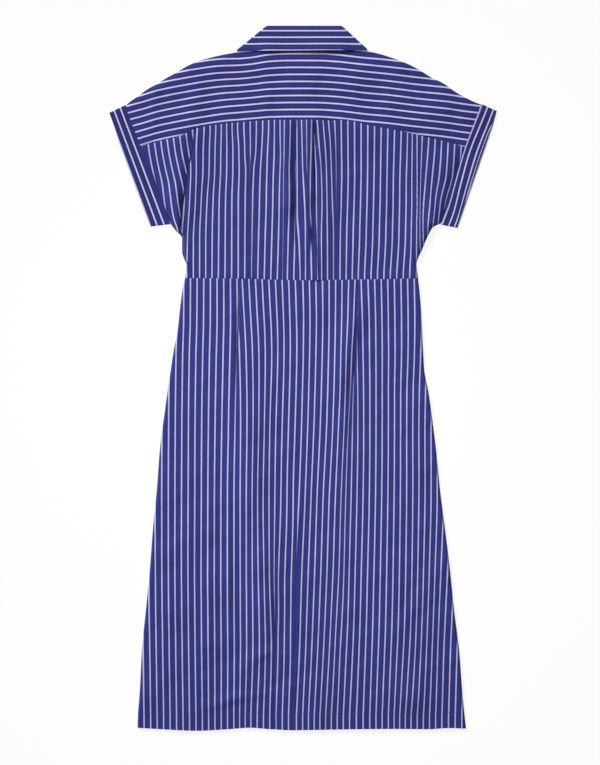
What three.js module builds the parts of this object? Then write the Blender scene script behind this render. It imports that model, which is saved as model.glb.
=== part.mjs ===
import * as THREE from "three";

// A shirt dress laid flat with its back up. Millimetres, +Z up, the collar towards +Y and the hem towards -Y.
// Each piece of cloth is a thin closed wall around a middle surface. The fronts lie on the ground.

// Walls, and how the pieces lie on each other
const cloth = 1; // wall of one piece
const cuffWall = 1.6; // a turned-back cuff is two thicknesses of cloth
const seam = 0.3; // gap where two pieces meet
const layer = cloth + seam; // one piece lying on another

// Button bands down the centre front, and their buttons
const bandHalf = 15;
const bandTop = 471;
const button = { across: 11, thick: 2, dish: 0.6, count: 11, top: 452, pitch: 96 };
const overLow = button.thick + seam; // underside of the band that holds the buttonholes
const underLow = overLow + layer; // underside of the band beneath it

// How far the raised middle and the collar's bed reach before the cloth lies flat again
const ridge = { full: 17, none: 54, fullY: 474, noneY: 508, overBack: 9 };
const bed = { full: 114, none: 150, fullY: 450, noneY: 425, overBack: 4 };

// Sides of the dress, with the underarm and the seam that joins the cuff
const leftSide = table(["y", "x"], [
  [-578, -274.5], [-516, -269.5], [-450, -266], [-384, -259.5], [-318, -253], [-252, -248], [-186, -241.5],
  [-120, -236.5], [-54, -228], [12, -218.5], [45, -213.5], [78, -207], [111, -203.5], [148, -198.5], [163, -195],
  [184, -193], [197, -197], [207, -200], [230, -200], [243, -211], [251, -217], [254.4, -219.2],
  [258, -220.6], [448.6, -292.5],
]);
const rightSide = table(["y", "x"], [
  [-579, 268.5], [-565, 266.8], [-516, 262], [-450, 257], [-384, 248.7], [-318, 242], [-252, 234], [-186, 225.6],
  [-120, 219], [-54, 210.7], [-21, 205.8], [12, 199.5], [45, 197.5], [111, 194.2], [148, 191], [163, 189.3],
  [187, 186.8], [197, 189.3], [207, 194.2], [227, 202.5], [237, 207.4], [246, 212.4], [252.5, 222.3],
  [254, 227.2], [258, 228.5], [450.5, 293.2],
]);

// Seams and edges that run across
const hem = table(["x", "y"], [
  [-275, -577.5], [-233, -580], [-175, -582.5], [-124, -580], [-88, -577.5], [-53, -580], [-17, -581.5],
  [18, -581], [158, -579.5], [207, -580], [239, -578], [269, -579],
]);
const waist = table(["x", "y"], [[-195, 164], [-104, 163], [-5, 160.5], [90, 161.5], [190, 163.5]]);
const yokeSeam = table(["x", "y"], [
  [-273, 381.5], [-175, 411.5], [-120, 419.5], [-47, 424], [66, 424], [112, 415], [161, 406.5], [274, 379],
]);
const shoulderLeft = table(["x", "y"], [
  [-292.5, 448.6], [-286, 454.5], [-271, 464.5], [-258, 474.5], [-240, 484.3], [-225, 494], [-207, 504],
  [-190, 514], [-165.5, 524], [-154, 527], [-132.5, 532], [-113, 535.8], [-82, 549],
]);
const shoulderRight = table(["x", "y"], [
  [82, 549], [109, 538.2], [131.5, 532], [146.5, 527], [178, 514], [196, 504], [212.5, 494], [232, 484.3],
  [245.5, 474.5], [262, 464.5], [282, 454.5], [293.2, 450.5],
]);
const neckDip = 4; // fall of the back neckline below the shoulders' inner ends
const centreBack = table(["y", "x"], [
  [-582, -18.5], [-532, -17], [-433, -13.5], [-334, -12], [-250, -10], [161, -3.5],
]);

// Collar, as [x, y] corners of its left half and right half
const leaf = {
  points: [[-62, 455], [62, 455]], // the two collar points, under the fronts
  front: [[-3, 510.5], [3, 510.5]], // upper ends of the front edges
  corners: [[-108.6, 539], [104.4, 541.4]], // where the outer edge turns at the shoulders
  roll: [[-57.5, 579.8], [62, 579.8]], // where the fold along the top turns
};
const stand = {
  neckFront: [[-seam / 2, 472], [seam / 2, 472]],
  topFront: [[-seam / 2, 500], [seam / 2, 500]],
  neckSide: [[-80, 551.5], [80, 551.5]],
  topSide: [[-61, 573.5], [65.5, 573.5]],
};

// Turned-back cuffs, each from the shoulder to the underarm
const cuffs = {
  left: { seam: [[-292.9, 448.2], [-219.8, 254.6]], edge: [[-318.6, 435.4], [-251.2, 250.8]], peek: 1.6 },
  right: { seam: [[293.6, 450.1], [227.7, 253.6]], edge: [[318.4, 438.4], [253, 248.6]], peek: 2.4 },
};

// Box pleat of the back bodice: a raised strip between two folds that open out towards the waist
const pleat = { left: -11.5, right: 16.5, depth: 9, closed: 330, open: 215 };

// Largest folds, each a soft rise along a line
const bodiceFolds = table(["x1", "y1", "x2", "y2", "width", "height"], [
  [-178, 404, -190, 365, 9, 1.6], [-190, 365, -196, 314, 9, 1.9], [-196, 314, -198, 250, 8, 1.6],
  [186, 404, 188, 268, 11, 1.5], [196, 300, 214, 262, 7, 1.3], [-118, 418, -108, 352, 9, 1.1],
  [-96, 418, -92, 372, 7, 0.9], [-40, 380, -36, 200, 9, 1.2], [44, 390, 40, 210, 9, 1.3],
  [-176, 186, -150, 170, 9, 0.9], [170, 186, 146, 170, 9, 0.9],
]);
const skirtFolds = table(["x1", "y1", "x2", "y2", "width", "height"], [
  [-64, -30, -66, -250, 16, 1.4], [-66, -250, -54, -440, 15, 1.8], [-60, -462, -118, -545, 14, 1.5],
  [76, 50, 68, -60, 10, 1.5], [68, -60, 62, -430, 16, 1.5], [20, -500, 32, -545, 12, 1.1],
  [158, -490, 168, -545, 13, 1.3], [-176, -560, -170, -420, 16, 1.2], [196, -120, 214, -420, 18, 0.9],
]);
const darts = table(["x1", "y1", "x2", "y2", "width", "height"], [
  [-105, 160, -109, 48, 2.4, 0.8], [90, 160, 86, 56, 2.4, 0.8],
]);

const colours = { cloth: 0x3a3d7d, button: 0x2c2f66 };

// Short helpers

function table(names, rows) {
  return rows.map((row) => Object.fromEntries(names.map((name, i) => [name, row[i]])));
}

const mix = (a, b, t) => a + (b - a) * t;
const mixPoint = (a, b, t) => [mix(a[0], b[0], t), mix(a[1], b[1], t)];
const clamp = (t) => Math.min(Math.max(t, 0), 1);

// 0 at a and 1 at b, with a soft start and end
function ease(a, b, value) {
  const t = clamp((value - a) / (b - a));
  return t * t * (3 - 2 * t);
}

// The value read from a table at a place between its rows, along a smooth curve that never overshoots them
function read(rows, key, value, at) {
  const slope = (i) => (rows[i + 1][value] - rows[i][value]) / (rows[i + 1][key] - rows[i][key]);
  const slopeAt = (i) => {
    if (i === 0) return slope(0);
    if (i === rows.length - 1) return slope(i - 1);
    const [p, q] = [slope(i - 1), slope(i)];
    return p * q > 0 ? (2 * p * q) / (p + q) : 0;
  };
  let i = 0;
  while (i < rows.length - 2 && rows[i + 1][key] < at) i += 1;
  const [a, b] = [rows[i], rows[i + 1]];
  const span = b[key] - a[key];
  const t = clamp((at - a[key]) / span);
  const bent = slopeAt(i) * t * (1 - t) ** 2 - slopeAt(i + 1) * t * t * (1 - t);
  return mix(a[value], b[value], ease(0, 1, t)) + span * bent;
}

const steps = (count) => Array.from({ length: count + 1 }, (_, i) => i / count);

// Heights of the undersides

// 1 over the button bands, 0 beside and above them. The back drapes over them a little wider than the front.
function ridgeAt(x, y, wider = 0) {
  const beside = Math.abs(x) - wider;
  return ease(ridge.none, ridge.full, beside) * ease(ridge.noneY, ridge.fullY, y);
}

function bedAt(x, y, wider = 0) {
  const beside = Math.abs(x) - wider;
  return layer * ease(bed.none, bed.full, beside) * ease(bed.noneY, bed.fullY, y + wider);
}

const frontLow = (bandLow) => (x, y) => Math.max(bandLow * ridgeAt(x, y), bedAt(x, y));

function backLow(x, y) {
  return layer + Math.max(underLow * ridgeAt(x, y, ridge.overBack), bedAt(x, y, bed.overBack));
}

// Height of the folds of a list at a place, each fading out at its ends
function foldsAt(folds, x, y) {
  let height = 0;
  for (const f of folds) {
    const [dx, dy] = [f.x2 - f.x1, f.y2 - f.y1];
    const length = Math.hypot(dx, dy);
    const along = ((x - f.x1) * dx + (y - f.y1) * dy) / length;
    const off = ((x - f.x1) * dy - (y - f.y1) * dx) / length;
    const past = Math.max(-along, along - length, 0);
    height = Math.max(height, f.height * Math.exp(-((off / f.width) ** 2) - (past / (2 * f.width)) ** 2));
  }
  return height;
}

// Closed walls

// A wall of the given thickness around a grid of points, rows[v][u]. A ring has no ends in u.
function wall(name, rows, thick, { ring = false, colour = colours.cloth } = {}) {
  const [high, wide] = [rows.length, rows[0].length];
  const point = (v, u) => new THREE.Vector3(...rows[v][u]);
  const before = (u) => (ring ? (u + wide - 1) % wide : Math.max(u - 1, 0));
  const after = (u) => (ring ? (u + 1) % wide : Math.min(u + 1, wide - 1));
  const [top, bottom] = [[], []];
  for (let v = 0; v < high; v += 1) {
    for (let u = 0; u < wide; u += 1) {
      const across = point(v, after(u)).sub(point(v, before(u)));
      const along = point(Math.min(v + 1, high - 1), u).sub(point(Math.max(v - 1, 0), u));
      const out = across.cross(along).normalize().multiplyScalar(thick / 2);
      top.push(point(v, u).add(out));
      bottom.push(point(v, u).sub(out));
    }
  }
  const faces = [];
  const lower = high * wide;
  const at = (v, u) => v * wide + (u % wide);
  const quad = (a, b, c, d) => faces.push(a, b, c, a, c, d);
  const spans = ring ? wide : wide - 1;
  for (let v = 0; v < high - 1; v += 1) {
    for (let u = 0; u < spans; u += 1) {
      const [a, b, c, d] = [at(v, u), at(v, u + 1), at(v + 1, u + 1), at(v + 1, u)];
      quad(a, b, c, d);
      quad(lower + d, lower + c, lower + b, lower + a);
    }
  }
  for (let u = 0; u < spans; u += 1) {
    const [a, b, c, d] = [at(0, u), at(0, u + 1), at(high - 1, u), at(high - 1, u + 1)];
    quad(b, a, lower + a, lower + b);
    quad(c, d, lower + d, lower + c);
  }
  for (let v = 0; v < high - 1 && !ring; v += 1) {
    const [a, b, c, d] = [at(v, 0), at(v + 1, 0), at(v, wide - 1), at(v + 1, wide - 1)];
    quad(a, b, lower + b, lower + a);
    quad(d, c, lower + c, lower + d);
  }
  const geometry = new THREE.BufferGeometry().setFromPoints([...top, ...bottom]);
  geometry.setIndex(faces);
  return finish(name, geometry, colour);
}

function finish(name, geometry, colour) {
  geometry.computeVertexNormals();
  const mesh = new THREE.Mesh(geometry, new THREE.MeshStandardMaterial({ color: colour, roughness: 0.8 }));
  mesh.name = name;
  return mesh;
}

// Points of a flat panel between two sides and two edges, laid at the height of its underside.
// A column may be moved off the panel by bend, which the pleat uses.
function panel({ left, right, low, high, yLeft, yRight, columns, lines, under, folds = [], bend = null }) {
  const edge = (f, ys, u) => {
    const x = mix(left(ys[0]), right(ys[1]), u);
    return [x, f(x)];
  };
  const yLow = [yLeft[0], yRight[0]];
  const yHigh = [yLeft[1], yRight[1]];
  return lines.map((v) =>
    columns.map((column) => {
      const u = column.u ?? column;
      const y = mix(edge(low, yLow, u)[1], edge(high, yHigh, u)[1], v);
      const x = mix(left(mix(yLow[0], yHigh[0], v)), right(mix(yLow[1], yHigh[1], v)), u);
      const z = under(x, y) + cloth / 2 + foldsAt(folds, x, y);
      return bend ? bend(column, x, y, z) : [x, y, z];
    }),
  );
}

// Points of a strip that turns back under itself. Each leg runs from a(v) to b(v) at the height z(v).
function strip(legs, lines, closed = false) {
  const turnSteps = 4;
  return lines.map((v) => {
    const row = [];
    legs.forEach((leg, i) => {
      const next = legs[i + 1] ?? (closed ? legs[0] : null);
      const skip = i > 0 || closed ? 1 : 0;
      const count = leg.steps;
      for (let k = skip; k <= count; k += 1) {
        row.push([...mixPoint(leg.a(v), leg.b(v), k / count), leg.z(v)]);
      }
      if (!next) return;
      const joint = leg.b(v);
      const fold = [leg.b(1)[0] - leg.b(0)[0], leg.b(1)[1] - leg.b(0)[1]];
      const long = Math.hypot(...fold);
      const away = [fold[1] / long, -fold[0] / long];
      const inward = [leg.a(v)[0] - joint[0], leg.a(v)[1] - joint[1]];
      const sign = away[0] * inward[0] + away[1] * inward[1] > 0 ? -1 : 1;
      const [middle, radius] = [(leg.z(v) + next.z(v)) / 2, (next.z(v) - leg.z(v)) / 2];
      for (let k = 1; k <= turnSteps; k += 1) {
        const angle = (Math.PI * k) / turnSteps;
        const out = sign * Math.abs(radius) * Math.sin(angle);
        row.push([joint[0] + away[0] * out, joint[1] + away[1] * out, middle - radius * Math.cos(angle)]);
      }
    });
    return row;
  });
}

// Back of the dress

const leftAt = (y) => read(leftSide, "y", "x", y);
const rightAt = (y) => read(rightSide, "y", "x", y);
const waistAt = (side) => (x) => read(waist, "x", "y", x) + (side * seam) / 2;
const yokeSeamAt = (side) => (x) => read(yokeSeam, "x", "y", x) + (side * seam) / 2;
const hemAt = (x) => read(hem, "x", "y", x);

function backNeck(x) {
  const inner = shoulderRight[0];
  return inner.y - neckDip * (1 - (x / inner.x) ** 2);
}

function yokeTop(x) {
  if (x < shoulderLeft.at(-1).x) return read(shoulderLeft, "x", "y", x);
  if (x > shoulderRight[0].x) return read(shoulderRight, "x", "y", x);
  return backNeck(x);
}

// How far the pleat is folded at a height: its depth, and how crisp the fold still is
function pleatAt(y) {
  return { depth: pleat.depth * ease(pleat.open, pleat.closed, y), crisp: ease(170, pleat.open, y) };
}

// The yoke rises where the pleat is sewn under its lower edge
function yokeUnder(x, y) {
  const near = ease(60, 18, Math.abs(x - (pleat.left + pleat.right) / 2)) * ease(470, 424, y);
  return backLow(x, y) + 2 * layer * near;
}

function backYoke() {
  const columns = [...steps(44)];
  const rows = panel({
    left: leftAt, right: rightAt, low: yokeSeamAt(1), high: yokeTop,
    yLeft: [381.5, 448.6], yRight: [379, 450.5], columns, lines: steps(8), under: yokeUnder,
  });
  return wall("back_yoke", rows, cloth);
}

// Columns of the bodice: even ones outside the pleat, and a run round each of its two folds
function bodiceColumns() {
  const wide = (x) => (x + 195) / 385;
  const [a, b] = [wide(pleat.left), wide(pleat.right)];
  const outside = (from, to, count) => steps(count).map((t) => ({ u: mix(from, to, t), side: 0 }));
  const fold = (u, side) => steps(11).map((t) => ({ u, side, t: side < 0 ? t : 1 - t }));
  return [
    ...outside(0, a - 0.012, 13), ...fold(a, -1), ...outside(a + 0.03, b - 0.03, 2).map((c) => ({ ...c, raised: 1 })),
    ...fold(b, 1), ...outside(b + 0.012, 1, 13),
  ];
}

// Places a column of the pleat: a flat run, a turn back, and a turn onto the raised strip
function pleatBend(column, x, y, z) {
  const { depth, crisp } = pleatAt(y);
  const lift = 2 * layer * crisp;
  if (column.raised) return [x, y, z + lift];
  if (!column.side) return [x, y, z];
  const sign = -column.side;
  const half = layer / 2;
  const k = Math.round(column.t * 11);
  const inner = k < 6;
  const angle = (Math.PI * (inner ? k : k - 6)) / 5;
  const out = inner ? depth + half * Math.sin(angle) : -half * Math.sin(angle);
  const up = inner ? half - half * Math.cos(angle) : 3 * half - half * Math.cos(angle);
  const slope = mix(-7, 7, column.t);
  return [x + sign * mix(slope, out, crisp), y, z + mix(lift * ease(0, 1, column.t), up, crisp)];
}

function backBodice() {
  const rows = panel({
    left: leftAt, right: rightAt, low: waistAt(1), high: yokeSeamAt(-1),
    yLeft: [164, 381.5], yRight: [163.5, 379], columns: bodiceColumns(),
    lines: [0, 0.05, 0.1, 0.16, 0.21, 0.26, 0.31, 0.36, 0.4, 0.42, 0.47, 0.53, 0.59, 0.66, 0.74, 0.82, 0.91, 1],
    under: backLow, folds: bodiceFolds, bend: pleatBend,
  });
  return wall("back_bodice", rows, cloth);
}

function backSkirt(side) {
  const centre = (y) => read(centreBack, "y", "x", y) + (side * seam) / 2;
  const dart = side < 0 ? [0.44, 0.455, 0.47, 0.485, 0.5, 0.515] : [0.42, 0.435, 0.45, 0.465, 0.48, 0.495];
  const plain = steps(13).filter((u) => Math.abs(u - dart[2]) > 0.06);
  const left = side < 0;
  const rows = panel({
    left: left ? leftAt : centre, right: left ? centre : rightAt, low: hemAt, high: waistAt(-1),
    yLeft: left ? [-578, 164] : [-581, 160.5], yRight: left ? [-581, 160.5] : [-579, 163.5],
    columns: [...plain, ...dart].sort((a, b) => a - b), lines: steps(26), under: backLow,
    folds: [...skirtFolds, ...darts],
  });
  return wall(left ? "back_skirt_left" : "back_skirt_right", rows, cloth);
}

// Front of the dress, plain, lying on the ground

function frontNeck(x) {
  const [outer, inner] = [shoulderRight[0], { x: bandHalf + seam, y: bandTop }];
  return mix(outer.y, inner.y, (outer.x - Math.abs(x)) / (outer.x - inner.x));
}

const frontTop = (x) => (Math.abs(x) > shoulderRight[0].x ? yokeTop(x) : frontNeck(x));

// The side at the left carries the under band, and the one at the right the band with the buttonholes
function frontPiece(side, name, low, high, yOuter, yInner, columns, lines) {
  const band = () => side * (bandHalf + seam);
  const left = side < 0;
  const rows = panel({
    left: left ? leftAt : band, right: left ? band : rightAt, low, high,
    yLeft: left ? yOuter : yInner, yRight: left ? yInner : yOuter,
    columns: left ? columns : columns.map((u) => 1 - u).reverse(), lines,
    under: frontLow(left ? underLow : overLow),
  });
  return wall(`${name}_${left ? "left" : "right"}`, rows, cloth);
}

function frontBodice(side) {
  const columns = [0, 0.12, 0.24, 0.36, 0.46, 0.56, 0.66, 0.757, 0.8, 0.84, 0.88, 0.92, 0.96, 1];
  const lines = [0, 0.08, 0.14, 0.19, 0.24, 0.27, 0.305, 0.32, 0.42, 0.55, 0.68, 0.82, 0.94, 1];
  const top = side < 0 ? 448.6 : 450.5;
  return frontPiece(side, "front_bodice", waistAt(1), frontTop, [164, top], [161, bandTop], columns, lines);
}

function frontSkirt(side) {
  const columns = [0, 0.2, 0.4, 0.6, 0.76, 0.82, 0.86, 0.9, 0.94, 0.97, 1];
  return frontPiece(side, "front_skirt", hemAt, waistAt(-1), [-578, 164], [-581, 161], columns, steps(13));
}

function band(name, low) {
  const rows = steps(24).map((v) =>
    steps(4).map((u) => {
      const x = mix(-bandHalf, bandHalf, u);
      return [x, mix(hemAt(x), bandTop, v), low + cloth / 2];
    }),
  );
  return wall(name, rows, cloth);
}

// A button face down: a flat back, a rounded rim and a shallow dish towards the ground
function buttonAt(index) {
  const { across, thick, dish, top, pitch } = button;
  const half = across / 2;
  const profile = [
    [0, dish], [half * 0.55, dish], [half * 0.72, 0], [half * 0.88, 0], [half, thick * 0.4],
    [half * 0.92, thick], [0, thick],
  ].map(([r, z]) => new THREE.Vector2(r, z));
  const geometry = new THREE.LatheGeometry(profile, 16);
  geometry.rotateX(Math.PI / 2);
  geometry.translate(0, top - index * pitch, 0);
  return finish(`button_${String(index + 1).padStart(2, "0")}`, geometry, colours.button);
}

// Collar and cuffs

// The leaf goes from one collar point round the back of the neck to the other
function collarLeaf() {
  const lines = [0, 0.3, 0.6, 0.86, 0.94, 1];
  const end = (side) => (v) => mixPoint(leaf.points[side], leaf.front[side], v);
  const turn = (side) => (v) => mixPoint(leaf.corners[side], leaf.roll[side], v);
  const front = (v) => cloth / 2 + layer * ease(0.94, 1, v); // the fold along the top bends in to the stand
  const back = (v) => cloth / 2 + layer * (3 - ease(0.86, 1, v));
  const rows = strip([
    { a: end(0), b: turn(0), z: front, steps: 4 },
    { a: turn(0), b: turn(1), z: back, steps: 12 },
    { a: turn(1), b: end(1), z: front, steps: 4 },
  ], lines);
  return wall("collar_leaf", rows, cloth);
}

function collarStand() {
  const end = (side) => (v) => mixPoint(stand.neckFront[side], stand.topFront[side], v);
  const turn = (side) => (v) => mixPoint(stand.neckSide[side], stand.topSide[side], v);
  const rows = strip([
    { a: end(0), b: turn(0), z: () => layer + cloth / 2, steps: 6 },
    { a: turn(0), b: turn(1), z: () => 2 * layer + cloth / 2, steps: 12 },
    { a: turn(1), b: end(1), z: () => layer + cloth / 2, steps: 6 },
  ], steps(3));
  return wall("collar_stand", rows, cloth);
}

// A flattened ring. Its front lies a little further out than its back, as it shows in the photo.
function cuff(side) {
  const { seam: inner, edge: outer, peek } = cuffs[side];
  const sign = side === "left" ? -1 : 1;
  const end = (i) => (v) => mixPoint(inner[i], outer[i], v);
  const rows = strip([
    { a: end(0), b: end(1), z: () => cuffWall * 1.5 + seam, steps: 10 },
    { a: end(1), b: end(0), z: () => cuffWall / 2, steps: 10 },
  ], steps(3), true);
  const low = cuffWall + seam / 2;
  rows.forEach((row, v) => row.forEach((p) => {
    if (p[2] < low) p[0] += (sign * peek * v) / 3;
  }));
  return wall(`cuff_${side}`, side === "left" ? rows : rows.map((row) => [...row].reverse()), cuffWall, { ring: true });
}

const dress = new THREE.Group();
dress.name = "shirt_dress";
dress.add(
  backYoke(), backBodice(), backSkirt(-1), backSkirt(1), frontBodice(-1), frontBodice(1), frontSkirt(-1),
  frontSkirt(1), band("band_over", overLow), band("band_under", underLow), collarLeaf(), collarStand(),
  cuff("left"), cuff("right"),
);
for (let i = 0; i < button.count; i += 1) dress.add(buttonAt(i));

export default dress;
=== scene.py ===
import math
from functools import partial

import bpy
import numpy as np
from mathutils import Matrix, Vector


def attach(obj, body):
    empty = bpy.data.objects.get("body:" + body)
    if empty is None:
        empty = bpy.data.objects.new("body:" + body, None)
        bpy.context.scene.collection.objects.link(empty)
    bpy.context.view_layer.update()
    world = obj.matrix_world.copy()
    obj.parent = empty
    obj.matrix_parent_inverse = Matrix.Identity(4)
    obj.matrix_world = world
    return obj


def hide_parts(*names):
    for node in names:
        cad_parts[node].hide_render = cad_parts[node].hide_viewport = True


# A shirt dress laid flat with its back up. Sizes are in millimetres, as in the CAD, until a mesh is made.
# x is to the right, y towards the collar and z up from what the dress lies on.

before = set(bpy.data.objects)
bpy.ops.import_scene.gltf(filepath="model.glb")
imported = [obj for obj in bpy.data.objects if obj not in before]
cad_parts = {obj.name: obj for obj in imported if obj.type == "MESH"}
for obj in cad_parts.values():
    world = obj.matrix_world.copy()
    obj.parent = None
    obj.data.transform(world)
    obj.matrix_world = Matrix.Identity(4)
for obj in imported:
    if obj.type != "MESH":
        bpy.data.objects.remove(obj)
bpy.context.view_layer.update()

MM = 0.001
CLOTH = 1.0  # wall of one piece in the CAD, whose middle surface each piece keeps
SHELL = 0.7  # wall of one piece here
CUFF_WALL = 1.6  # the same two for the cuffs
CUFF_SHELL = 1.3
SEAM = 0.3
SLIT = 0.03  # half of what is left open between two sewn edges here
LAYER = CLOTH + SEAM
OVER_LOW = 2.3  # underside of the button band with the buttonholes
UNDER_LOW = OVER_LOW + LAYER
BAND_HALF = 15.0
BAND_TOP = 471.0
# The button bands raise the cloth over them to a ridge, and the collar's ends make a bed under the fronts: in
# full within one distance of the centre, and not beyond another. The back stays up a little further out.
RIDGE = {"full": 17, "none": 54, "full_y": 474, "none_y": 508, "over_back": 9}
BED = {"full": 114, "none": 150, "full_y": 450, "none_y": 425, "over_back": 4}

STRIPE_PITCH = 10.95
TUCK_DEPTH = 0.7
HEM_STITCH = 24.0  # height of the hem's stitches above its fold
COLLAR_STITCH = 5.0
BAND_STITCH = 2.5
STITCH = {"from_edge": 1.7, "half_width": 0.3, "pitch": 2.6, "share": 0.7}
BUTTON = {
    "across": 11, "thick": 2, "dish": 0.6, "count": 11, "top": 452, "pitch": 96, "hole": 0.72, "hole_gap": 1.35,
}
BUTTONHOLE = {"length": 14, "width": 2.8, "below": 2.5}

# Camera over the middle of the photo
PHOTO_PX = (600, 765)
MM_PER_PX = 1.65
PHOTO_MIDDLE = (-5.4, -8.2)
PHOTO_ORIGIN = (303.3, 377.5)  # the pixel over x = 0, y = 0
LENS = 100.0


# Small helpers

def mix(a, b, t):
    return a + (b - a) * t


def ease(a, b, value):
    """0 at a and 1 at b, with a soft start and end."""
    t = np.clip((value - a) / (b - a), 0, 1)
    return t * t * (3 - 2 * t)


def bell(value, width):
    return np.exp(-((value / width) ** 2))


def smooth(xs, ys, at):
    """A smooth curve through points that never overshoots them."""
    xs, ys, at = np.asarray(xs, float), np.asarray(ys, float), np.asarray(at, float)
    slope = np.diff(ys) / np.diff(xs)
    inner = slope[:-1] * slope[1:]
    total = slope[:-1] + slope[1:]
    middle = np.where(inner > 0, 2 * inner / np.where(inner > 0, total, 1), 0)
    slopes = np.concatenate([slope[:1], middle, slope[-1:]])
    i = np.clip(np.searchsorted(xs, at) - 1, 0, len(xs) - 2)
    span = xs[i + 1] - xs[i]
    t = np.clip((at - xs[i]) / span, 0, 1)
    bent = slopes[i] * t * (1 - t) ** 2 - slopes[i + 1] * t * t * (1 - t)
    return mix(ys[i], ys[i + 1], t * t * (3 - 2 * t)) + span * bent


def curve(rows):
    """A smooth curve through points, as a function."""
    xs, ys = np.array(rows, float).T
    return lambda at: smooth(xs, ys, at)


def together(*parts):
    """Arrays as the coordinates of points."""
    return np.stack(np.broadcast_arrays(*parts), -1)


# Outline and seams, as in the CAD: x at a height y for the sides and the centre back, else y at a place x

left_side = curve([
    [-578, -274.5], [-516, -269.5], [-450, -266], [-384, -259.5], [-318, -253], [-252, -248],
    [-186, -241.5], [-120, -236.5], [-54, -228], [12, -218.5], [45, -213.5], [78, -207], [111, -203.5],
    [148, -198.5], [163, -195], [184, -193], [197, -197], [207, -200], [230, -200], [243, -211],
    [251, -217], [254.4, -219.2], [258, -220.6], [448.6, -292.5],
])
right_side = curve([
    [-579, 268.5], [-565, 266.8], [-516, 262], [-450, 257], [-384, 248.7], [-318, 242], [-252, 234],
    [-186, 225.6], [-120, 219], [-54, 210.7], [-21, 205.8], [12, 199.5], [45, 197.5], [111, 194.2],
    [148, 191], [163, 189.3], [187, 186.8], [197, 189.3], [207, 194.2], [227, 202.5], [237, 207.4],
    [246, 212.4], [252.5, 222.3], [254, 227.2], [258, 228.5], [450.5, 293.2],
])
hem = curve([
    [-275, -577.5], [-233, -580], [-175, -582.5], [-124, -580], [-88, -577.5], [-53, -580], [-17, -581.5],
    [18, -581], [158, -579.5], [207, -580], [239, -578], [269, -579],
])
waist = curve([[-195, 164], [-104, 163], [-5, 160.5], [90, 161.5], [190, 163.5]])
yoke_seam = curve([
    [-273, 381.5], [-230, 391], [-198, 399.5], [-184, 408.5], [-175, 411.5], [-120, 419.5], [-47, 424],
    [66, 424], [112, 415], [161, 406.5], [274, 379],
])
shoulder_left = curve([
    [-292.5, 448.6], [-286, 454.5], [-271, 464.5], [-258, 474.5], [-240, 484.3], [-225, 494], [-207, 504],
    [-190, 514], [-165.5, 524], [-154, 527], [-132.5, 532], [-113, 535.8], [-82, 549],
])
shoulder_right = curve([
    [82, 549], [109, 538.2], [131.5, 532], [146.5, 527], [178, 514], [196, 504], [212.5, 494],
    [232, 484.3], [245.5, 474.5], [262, 464.5], [282, 454.5], [293.2, 450.5],
])
NECK = {"half": 82, "y": 549, "dip": 4}
centre_back = curve([
    [-582, -18.5], [-532, -17], [-433, -13.5], [-334, -12], [-250, -10], [161, -3.5],
])
# Where the hem, the waist seam, the yoke's seam and the shoulder meet the sides and the middle
HEM_Y = {"left": -578, "middle": -581, "right": -579}
WAIST_Y = {"left": 164, "middle": 160.5, "front_middle": 161, "right": 163.5}
YOKE_Y = {"left": 381.5, "right": 379}
TOP_Y = {"left": 448.6, "right": 450.5}
SIDES = {"left": left_side, "right": right_side}
OUTWARD = {"left": -1, "right": 1}


def above_waist(x):
    return waist(x) + SLIT


def below_waist(x):
    return waist(x) - SLIT


def shoulder(x):
    neck = NECK["y"] - NECK["dip"] * (1 - (x / NECK["half"]) ** 2)
    return np.where(x < -NECK["half"], shoulder_left(x), np.where(x > NECK["half"], shoulder_right(x), neck))


def front_top(x):
    neck = mix(NECK["y"], BAND_TOP, (NECK["half"] - abs(x)) / (NECK["half"] - BAND_HALF - SEAM))
    return np.where(abs(x) > NECK["half"], shoulder(x), neck)


# Heights of the undersides, as in the CAD

def ridge_at(x, y, wider=0):
    return ease(RIDGE["none"], RIDGE["full"], abs(x) - wider) * ease(RIDGE["none_y"], RIDGE["full_y"], y)


def bed_at(x, y, wider=0):
    up = ease(BED["none_y"], BED["full_y"], y + wider)
    return LAYER * ease(BED["none"], BED["full"], abs(x) - wider) * up


def front_low(x, y, band_low):
    return np.maximum(band_low * ridge_at(x, y), bed_at(x, y))


def back_low(x, y):
    ridge = UNDER_LOW * ridge_at(x, y, RIDGE["over_back"])
    return LAYER + np.maximum(ridge, bed_at(x, y, BED["over_back"]))


# Relief of the cloth. A fold is a soft crest along a line: the line's ends and the fold's width on its lit and
# its shaded side, in the photo's pixels, and its rise in millimetres.

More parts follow.
